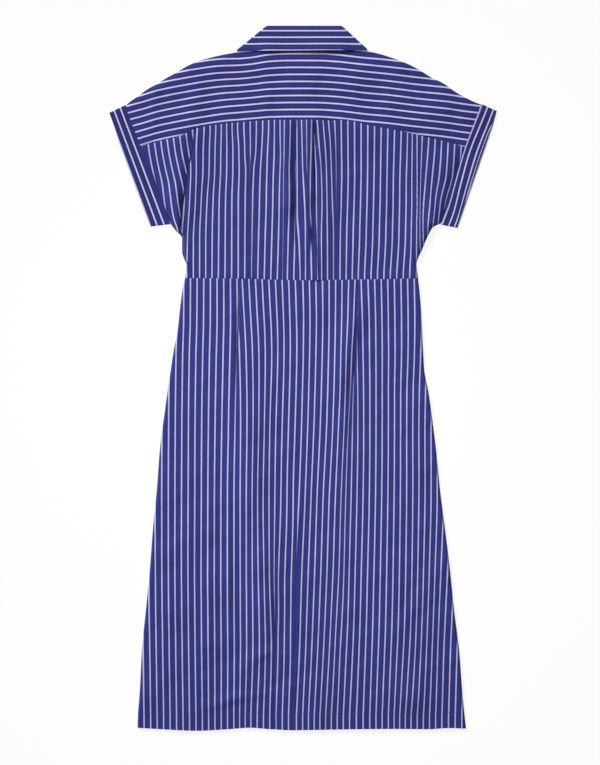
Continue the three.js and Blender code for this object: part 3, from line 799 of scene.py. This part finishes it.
LEAF_POINTS = [[-62, 455], [62, 455]]
LEAF_FRONT = [[-3, 510.5], [3, 510.5]]
LEAF_CORNERS = [[-108.6, 538.2], [104.4, 539.9]]
LEAF_ROLL = [[-57.5, 580.2], [60.6, 580.2]]
COLLAR_STRIPES = {"first": 571.9, "pitch": 10.9}
LEAF_HEIGHT = 41
LEAF_ROWS = np.concatenate([np.linspace(0, 0.8, 22), np.linspace(0.82, 1, 14)])


def leaf_lift(x):
    """How much higher the leaf's lower edge lies than flat on the yoke."""
    return 1.9 * (ease(96, 60, abs(x)) + bell(x + 57, 13) + bell(x - 36, 30))


def collar_leaf():
    vs = LEAF_ROWS
    v = vs[:, None]
    ends = [line(LEAF_POINTS[i], LEAF_FRONT[i]) for i in (0, 1)]
    turns = [line(LEAF_CORNERS[i], LEAF_ROLL[i]) for i in (0, 1)]

    def front(v):
        return CLOTH / 2 + LAYER * ease(0.94, 1, v)

    def back(v):
        return CLOTH / 2 + LAYER * (3 - ease(0.86, 1, v)) + 0.5 * ease(0.35, 0, v) ** 2

    legs = [(ends[0], turns[0], front, 30), (turns[0], turns[1], back, 90), (turns[1], ends[1], front, 30)]
    grid = strip_grid(legs, vs)
    x, z = grid[:, :, 0], grid[:, :, 2]
    grid[:, :, 2] += np.where(z > 2.2, leaf_lift(x) * ease(0.8, 0, v), 0)
    left_y, right_y = (mix(LEAF_CORNERS[i][1], LEAF_ROLL[i][1], v) for i in (0, 1))
    share = np.clip((x - LEAF_CORNERS[0][0]) / (LEAF_CORNERS[1][0] - LEAF_CORNERS[0][0]), 0, 1)
    from_first = mix(left_y, right_y, share) - COLLAR_STRIPES["first"]
    across = from_first * STRIPE_PITCH / COLLAR_STRIPES["pitch"]
    past_corner = ease(58, 82, abs(x)) * ease(0.3, 0, v)
    weave = together(across + 2.2 * past_corner, x)
    return cloth_piece("collar", grid, weave, sewn=together(v * LEAF_HEIGHT - COLLAR_STITCH, x))


STAND_HEIGHT = 27


def collar_stand():
    vs = np.linspace(0, 1, 14)
    ends = [line([s * SEAM / 2, 472], [s * SEAM / 2, 500]) for s in (-1, 1)]
    turns = [line([-80, 551.5], [-61, 573.5]), line([80, 551.5], [65.5, 573.5])]
    front, back = level(LAYER + CLOTH / 2), level(2 * LAYER + CLOTH / 2)
    legs = [(ends[0], turns[0], front, 30), (turns[0], turns[1], back, 50), (turns[1], ends[1], front, 30)]
    grid = strip_grid(legs, vs)
    return cloth_piece("stand", grid, together(vs[:, None] * STAND_HEIGHT, grid[:, :, 0]))


# Each cuff's seam and edge from the top down, how far its lower half peeks out and from which height, where
# the stripes of its two halves start, its width, how its stripes bow and roll, and how its seam is pulled
CUFFS = {
    "left": {"seam": [[-292.9, 448.2], [-219.8, 254.6]], "edge": [[-319.6, 435.4], [-251.2, 250.8]],
             "peek": 2.6, "stripes": 20.5, "under": 17.5, "wide": 29.5, "bow": 0,
             "peek_from": 425, "pulled": 0, "let_out": 0, "rolled": 0},
    "right": {"seam": [[293.6, 450.1], [227.7, 253.6]], "edge": [[318.4, 438.4], [253, 248.6]],
              "peek": 3.0, "stripes": 1.4, "under": 5.6, "wide": 28.5, "bow": 3.1,
              "peek_from": 452, "pulled": -3.2, "let_out": 1.5, "rolled": 4.4},
}
CUFF_STEPS = 90
CUFF_ROWS = 26


def lower_half(grid):
    return grid[:, :, 2] < CUFF_WALL + SEAM / 2


def cuff_form(side, vs):
    """Points of a cuff, which is a flat ring."""
    c = CUFFS[side]
    ends = [line(c["seam"][i], c["edge"][i]) for i in (0, 1)]
    upper, lower = level(CUFF_WALL * 1.5 + SEAM), level(CUFF_WALL / 2)
    legs = [(ends[0], ends[1], upper, CUFF_STEPS), (ends[1], ends[0], lower, CUFF_STEPS)]
    grid = strip_grid(legs, vs, closed=True)
    below = lower_half(grid)
    along = grid[:, :, 1]
    v = vs[:, None]
    peeking = OUTWARD[side] * c["peek"] * v * ease(c["peek_from"], c["peek_from"] - 45, along)
    pulled = (c["pulled"] * bell(along - 378, 46) + c["let_out"] * bell(along - 288, 22)) * (1 - v)
    grid[:, :, 0] += np.where(below, peeking, pulled)
    grid[:, :, 2] += np.where(below, 0, 0.35 * np.sin(along / 16.0) * bell(v - 0.5, 0.4))
    return grid if side == "left" else grid[:, ::-1]


def cuff(side):
    c = CUFFS[side]
    vs = np.linspace(0, 1, CUFF_ROWS)
    grid = cuff_form(side, vs)
    from_seam = (vs * c["wide"])[:, None]
    along = grid[:, :, 1]
    bowed = (bell(along - 367, 60) - 0.75 * bell(along - 266, 24)) * ease(0, 9, from_seam)
    bowed = bowed + 0.86 * bell(along - 362, 62) * ease(21, c["wide"], from_seam)
    rolled = ease(22.8, 28, from_seam) * ease(428, 405, along) * ease(258, 285, along)
    upper_start = c["stripes"] - c["bow"] * bowed - c["rolled"] * rolled
    weave = together(from_seam - np.where(lower_half(grid), c["under"], upper_start), along)
    sewn = together(from_seam, along)
    return cloth_piece(f"cuff_band_{side}", grid, weave, CUFF_SHELL, ring=True, sewn=sewn)


# Front of the dress, plain, lying on the ground

FRONT_START = 5.4  # places the stripes of the fronts
FRONT_COLUMNS = 80
FRONT_ROWS = {"bodice": 110, "skirt": 150}
BAND_GRID = (260, 16)


def front_panel(part, side):
    us = close_to("end" if side == "left" else "start", FRONT_COLUMNS)
    vs = np.linspace(0, 1, FRONT_ROWS[part])
    beside_band = level(OUTWARD[side] * (BAND_HALF + SEAM))
    if part == "bodice":
        low, high = above_waist, front_top
        outer = SIDES[side], WAIST_Y[side], TOP_Y[side]
        inner = beside_band, WAIST_Y["front_middle"], BAND_TOP
    else:
        low, high = hem, below_waist
        outer = SIDES[side], HEM_Y[side], WAIST_Y[side]
        inner = beside_band, HEM_Y["middle"], WAIST_Y["front_middle"]
    x, y = span(*in_order(side, outer, inner), low, high, us, vs)
    loose = plateau_at(x, y) * ease(45, 85, abs(x)) * ease(8, 40, y - hem(x))
    creases = folds_at(FRONT_FOLDS, x, y) + 0.5 * np.maximum(ripples(x, y, seed=5), 0)
    band_low = UNDER_LOW if side == "left" else OVER_LOW
    z = front_low(x, y, band_low) + CLOTH / 2 + np.minimum(creases, 1.8) * loose
    weave = together(x + FRONT_START * OUTWARD[side], y)
    return cloth_piece(f"fore_{part}_{side}", together(x, y, z), weave)


def button_band(name, low):
    us, vs = np.linspace(0, 1, BAND_GRID[1]), np.linspace(0, 1, BAND_GRID[0])
    x = np.broadcast_to(mix(-BAND_HALF, BAND_HALF, us), BAND_GRID)
    y = mix(hem(x), BAND_TOP, vs[:, None])
    grid = together(x, y, low + CLOTH / 2)
    return cloth_piece(name, grid, together(x, y), sewn=together(BAND_HALF - abs(x) - BAND_STITCH, y))


# Buttons, face down, and buttonholes

# From the dish to the middle of the other face: shares of the radius, and of the thickness
BUTTON_PROFILE = ((0.74, 0), (0.86, 0), (0.96, 0.2), (1, 0.45), (0.97, 0.85), (0.9, 1), (0, 1))
AROUND_BUTTON = 40
AROUND_HOLE = 12
# A buttonhole's rim of thread: how far inside its outline each ring lies, and how far out of the cloth
BUTTONHOLE_RIM = ((0, 0), (0.2, 0.14), (0.9, 0.14), (1.1, 0.02))


def button_y(index):
    return BUTTON["top"] - index * BUTTON["pitch"]


def between_rings(start, rings, around):
    """Faces that join rings of points, the first of which has the number start."""
    faces = []
    for first in range(start, start + (rings - 1) * around, around):
        for k in range(around):
            a, b = first + k, first + (k + 1) % around
            faces.append((a, a + around, b + around, b))
    return faces


def button_at(index):
    """A button with a rounded rim and a shallow dish."""
    radius, thick, dish = BUTTON["across"] / 2, BUTTON["thick"], BUTTON["dish"]
    profile = [(0, dish), (radius * 0.55, dish), (radius * 0.66, 0.25)]
    profile += [(radius * share, thick * height) for share, height in BUTTON_PROFILE]
    turn = np.linspace(0, 2 * math.pi, AROUND_BUTTON, endpoint=False)
    points = [(r * math.cos(a), button_y(index) + r * math.sin(a), z) for r, z in profile for a in turn]
    faces = between_rings(0, len(profile), AROUND_BUTTON)
    return mesh_piece(f"shirt_button_{index + 1:02d}", points, faces, sharp=40)


def painted_button_hole_shade():
    """The four holes of every button, as dark rounds just clear of its dish: painted shade in place of the
    holes.
    """
    gap, depth = BUTTON["hole_gap"], BUTTON["dish"] - 0.03
    points = []
    for index in range(BUTTON["count"]):
        for x, y in ((-gap, -gap), (-gap, gap), (gap, -gap), (gap, gap)):
            for k in range(AROUND_HOLE):
                a = 2 * math.pi * k / AROUND_HOLE
                round_y = button_y(index) + y + BUTTON["hole"] * math.sin(a)
                points.append((x + BUTTON["hole"] * math.cos(a), round_y, depth))
    faces = [tuple(range(start, start + AROUND_HOLE))[::-1] for start in range(0, len(points), AROUND_HOLE)]
    return mesh_piece("painted_button_hole_shade", points, faces)


def slot_ring(inset, y0, z):
    """Points round a buttonhole, so far inside its outline."""
    half_length, half_width = BUTTONHOLE["length"] / 2 - inset, BUTTONHOLE["width"] / 2 - inset
    turn = np.linspace(0, math.pi, 12)
    end = np.column_stack([half_width * np.cos(turn), half_length - half_width + half_width * np.sin(turn)])
    ring = np.concatenate([end, -end]) + [0, y0]
    return np.column_stack([ring, np.full(len(ring), z)])


def buttonholes():
    """The thread sewn round each buttonhole, on the underside of the band, as a raised rim."""
    points, faces = [], []
    under = OVER_LOW + (CLOTH - SHELL) / 2
    for index in range(BUTTON["count"]):
        y0 = button_y(index) - BUTTONHOLE["below"]
        rings = [slot_ring(inset, y0, under - raised) for inset, raised in BUTTONHOLE_RIM]
        faces += between_rings(len(points), len(rings), len(rings[0]))
        points += [tuple(point) for ring in rings for point in ring]
    return mesh_piece("buttonhole_thread", points, faces)


# Materials

BLUE = (0.0265, 0.0318, 0.206)
DEEP_BLUE = (0.0187, 0.0222, 0.153)
LIT_BLUE = (0.040, 0.050, 0.27)
# painted shade: the deep blue that folds and recesses darken to
PAINTED_SHADE_BLUE = (0.010, 0.012, 0.085)
THREAD = (0.045, 0.055, 0.30)
PAPER = (0.16, 0.16, 0.16)
PAPER_GLOW = (1, 1, 0.995)
PAINTED_HOLE_SHADE = (0.012, 0.013, 0.05)
PLASTIC = ((0.02, 0.022, 0.10), (0.05, 0.055, 0.20))
MIDWAY_GAIN = (1.26, 1.30, 1.36)  # the blue is a little lighter midway between two stripes
MIDWAY = (0.28, 0.48)  # where it starts and ends to be, in pitches from the stripe's middle
STRIPE_EDGE = (1.25, 0.8)  # where a stripe starts and is full, in halves of its width
THREAD_SIZE = 0.0006  # metres from one warp or weft thread to the next in the weave's relief
THREAD_NOISE = (2600.0, 60.0, 2.0)  # scale across and along the cloth, and detail
SLUB_NOISE = (420.0, 9.0, 3.0)
# The cotton by how it is cut: width and colours of the stripes, and a factor for the blue that paints shade,
# a little on the crosswise cotton of the yoke and collar and more on the doubled cotton of the cuffs
LENGTHWISE = {"stripe": 2.16, "pale": (0.62, 0.58, 0.88), "dim": (0.51, 0.475, 0.74), "painted_shade_tone": (1, 1, 1)}
CROSSWISE = {"stripe": 2.35, "pale": (0.74, 0.69, 0.97), "dim": (0.66, 0.61, 0.86), "painted_shade_tone": (1, 0.96, 0.95)}
DOUBLED_WITH_PAINTED_SHADE = {**CROSSWISE, "stripe": 2.3, "painted_shade_tone": (0.88, 0.82, 0.81)}


def wire(tree, node, inputs):
    """Sets or links the inputs of a node, by their names or numbers."""
    for place, value in inputs.items():
        if hasattr(value, "is_output"):
            tree.links.new(value, node.inputs[place])
        else:
            node.inputs[place].default_value = value


def add_node(tree, kind, inputs, **options):
    """A new node's outputs."""
    node = tree.nodes.new(f"ShaderNode{kind}")
    for option, value in options.items():
        setattr(node, option, value)
    wire(tree, node, inputs)
    return node.outputs


def new_material(name):
    """A material, its nodes and its shader."""
    material = bpy.data.materials.new(name)
    material.use_nodes = True
    return material, material.node_tree, material.node_tree.nodes["Principled BSDF"]


def math_node(tree, operation, *values):
    return add_node(tree, "Math", dict(enumerate(values)), operation=operation)[0]


def mix_colours(tree, fraction, a, b, blend="MIX"):
    a, b = ((*colour, 1) if isinstance(colour, tuple) else colour for colour in (a, b))
    return add_node(tree, "Mix", {0: fraction, 6: a, 7: b}, data_type="RGBA", blend_type=blend)[2]


def soft_step(tree, start, end, value):
    """0 at start and 1 at end, as ease has it."""
    limits = {"From Min": start, "From Max": end, "Value": value}
    return add_node(tree, "MapRange", limits, interpolation_type="SMOOTHSTEP")[0]


def map_parts(tree, name):
    """A UV map, and its first and second parts."""
    uv = add_node(tree, "UVMap", {}, uv_map=name)[0]
    parts = add_node(tree, "SeparateXYZ", {0: uv})
    return uv, parts[0], parts[1]


def stretched_noise(tree, uv, across, along, detail):
    place = add_node(tree, "Mapping", {"Vector": uv, "Scale": (across, along, 1)})[0]
    return add_node(tree, "TexNoise", {"Vector": place, "Scale": 1.0, "Detail": detail})[0]


def stitches(tree):
    """1 on the threads of a line of stitches beside a sewn edge."""
    calc = partial(math_node, tree)
    _, distance, along = map_parts(tree, "sewn")
    off = calc("ABSOLUTE", calc("SUBTRACT", distance, STITCH["from_edge"] * MM))
    turn = calc("FRACT", calc("DIVIDE", along, STITCH["pitch"] * MM))
    near = calc("LESS_THAN", off, STITCH["half_width"] * MM)
    return calc("MULTIPLY", near, calc("LESS_THAN", turn, STITCH["share"]))


def stripe_colour(tree, cloth, across, threads, slub):
    """Blue cotton with pale stripes, which fade where the cloth is taken up in a tuck and as painted shade of
    creases, and then darken to a deep blue as painted shade in folds and recesses.
    """
    calc, blend = partial(math_node, tree), partial(mix_colours, tree)
    turn = calc("FRACT", calc("ADD", calc("DIVIDE", across, STRIPE_PITCH * MM), 0.5))
    off = calc("ABSOLUTE", calc("SUBTRACT", turn, 0.5))
    half = cloth["stripe"] / 2 / STRIPE_PITCH
    stripe = soft_step(tree, half * STRIPE_EDGE[0], half * STRIPE_EDGE[1], off)
    blue = blend(slub, DEEP_BLUE, BLUE)
    blue = blend(calc("MULTIPLY", threads, 0.5), blue, LIT_BLUE)
    # painted shade: this darkens the blue of the crosswise and the doubled cotton
    blue = blend(1.0, blue, cloth["painted_shade_tone"], "MULTIPLY")
    blue = blend(soft_step(tree, *MIDWAY, off), blue, MIDWAY_GAIN, "MULTIPLY")
    colour = blend(stripe, blue, blend(slub, cloth["dim"], cloth["pale"]))
    tuck_and_painted_shade = add_node(tree, "Attribute", {}, attribute_name="tuck_and_painted_shade")["Fac"]
    plain = calc("MINIMUM", tuck_and_painted_shade, 1.0)
    # painted shade: past 1 the blue darkens in folds and recesses
    painted_fold_shade = calc("MAXIMUM", calc("SUBTRACT", tuck_and_painted_shade, 1.0), 0.0)
    return blend(painted_fold_shade, blend(plain, colour, blue), PAINTED_SHADE_BLUE)


def weave_relief(tree, across, along, threads):
    calc = partial(math_node, tree)
    warp, weft = (calc("SINE", calc("MULTIPLY", part, 2 * math.pi / THREAD_SIZE)) for part in (across, along))
    return calc("ADD", calc("MULTIPLY", calc("MULTIPLY", warp, weft), 0.5), threads)


def striped_cotton(name, stitched, cloth=LENGTHWISE):
    material, tree, shader = new_material(name)
    uv, across, along = map_parts(tree, "weave")
    threads = stretched_noise(tree, uv, *THREAD_NOISE)
    slub = stretched_noise(tree, uv, *SLUB_NOISE)
    colour = stripe_colour(tree, cloth, across, threads, slub)
    relief = weave_relief(tree, across, along, threads)
    if stitched:
        thread = stitches(tree)
        colour = mix_colours(tree, thread, colour, THREAD)
        relief = math_node(tree, "ADD", relief, math_node(tree, "MULTIPLY", thread, 2.5))
    bump = add_node(tree, "Bump", {"Strength": 0.35, "Distance": 0.00012, "Height": relief})[0]
    rough = math_node(tree, "ADD", math_node(tree, "MULTIPLY", slub, 0.14), 0.66)
    wire(tree, shader, {"Base Color": colour, "Normal": bump, "Roughness": rough})
    wire(tree, shader, {"Sheen Weight": 0.05, "Sheen Roughness": 0.5, "Specular IOR Level": 0.15})
    return material


def button_plastic():
    material, tree, shader = new_material("button plastic")
    place = add_node(tree, "TexCoord", {})["Object"]
    noise = add_node(tree, "TexNoise", {"Vector": place, "Scale": 240.0})[0]
    wire(tree, shader, {"Base Color": mix_colours(tree, noise, *PLASTIC), "Roughness": 0.28})
    return material


def painted_hole_shade():
    material, tree, shader = new_material("painted shade of the button holes")
    wire(tree, shader, {"Base Color": (*PAINTED_HOLE_SHADE, 1), "Roughness": 0.9})
    return material


def sewing_thread():
    material, tree, shader = new_material("sewing thread")
    place = add_node(tree, "TexCoord", {})["Object"]
    wave = add_node(tree, "TexWave", {"Vector": place, "Scale": 420.0}, bands_direction="Y")["Fac"]
    wire(tree, shader, {"Base Color": mix_colours(tree, wave, BLUE, THREAD), "Roughness": 0.7})
    return material


def lit_paper():
    material, tree, shader = new_material("lit white table")
    wire(tree, shader, {"Base Color": (*PAPER, 1), "Roughness": 0.9, "Specular IOR Level": 0.1})
    wire(tree, shader, {"Emission Color": (*PAPER_GLOW, 1), "Emission Strength": 0.85})
    return material


# Camera, light and floor

def look_down():
    data = bpy.data.cameras.new("camera")
    data.lens = LENS
    distance = PHOTO_PX[1] * MM_PER_PX * MM * LENS / data.sensor_width
    data.clip_end = distance * 4
    camera = in_scene("camera", data)
    camera.location = (PHOTO_MIDDLE[0] * MM, PHOTO_MIDDLE[1] * MM, distance + 0.002)
    bpy.context.scene.camera = camera


def lamp(name, kind, strength):
    data = bpy.data.lights.new(name, kind)
    data.energy = strength
    return in_scene(name, data)


def studio():
    """Light from the photo's upper left, a soft lamp above, and the table that the dress lies on."""
    world = bpy.data.worlds.new("studio")
    world.use_nodes = True
    background = world.node_tree.nodes["Background"]
    background.inputs["Color"].default_value = (1, 1, 1, 1)
    background.inputs["Strength"].default_value = 0.06
    bpy.context.scene.world = world
    key = lamp("key", "SUN", 3.2)
    key.data.angle = math.radians(12)
    key.rotation_euler = Vector((0.6, -0.8, -0.60)).to_track_quat("-Z", "Y").to_euler()
    fill = lamp("fill", "AREA", 3.7)
    fill.data.size = 0.5
    fill.location = (-0.10, 0.02, 0.95)
    bpy.context.scene.view_settings.view_transform = "Standard"
    bpy.ops.mesh.primitive_plane_add(size=40, location=(0, 0, -0.0005))
    floor = bpy.context.object
    floor.name = "table"
    floor.data.materials.append(lit_paper())
    return floor


cotton = striped_cotton("striped cotton", False)
sewn_cotton = striped_cotton("striped cotton, stitched", True)
cross_cotton = striped_cotton("striped cotton, cut across", True, CROSSWISE)
shaded_double_cotton = striped_cotton("striped cotton, doubled, with painted shade", True, DOUBLED_WITH_PAINTED_SHADE)
plastic = button_plastic()
look_down()
table_top = studio()
over_band = dress(button_band("buttonhole_band", OVER_LOW), sewn_cotton, "band_over")
under_band = dress(button_band("button_band", UNDER_LOW), sewn_cotton, "band_under")
fronts = [
    dress(front_panel(part, side), cotton, f"front_{part}_{side}")
    for part in ("bodice", "skirt") for side in ("left", "right")
]
cuffs = [dress(cuff(side), shaded_double_cotton, f"cuff_{side}") for side in ("left", "right")]
stand = dress(collar_stand(), cotton, "collar_stand")
leaf = dress(collar_leaf(), cross_cotton, "collar_leaf")
backs = [dress(back_skirt(side), sewn_cotton, f"back_skirt_{side}") for side in ("left", "right")]
backs.append(dress(back_bodice(), cotton, "back_bodice"))
backs.append(dress(yoke(), cross_cotton, "back_yoke"))
for number in range(BUTTON["count"]):
    dress(button_at(number), plastic, f"button_{number + 1:02d}", slot="button")
dress(painted_button_hole_shade(), painted_hole_shade(), slot="button")
dress(buttonholes(), sewing_thread())
laid(over_band, *fronts)
laid(under_band, over_band)
for piece in (*fronts, *cuffs, leaf):
    laid(piece, table_top)
laid(stand, leaf)
for piece in backs:
    laid(piece, *fronts)
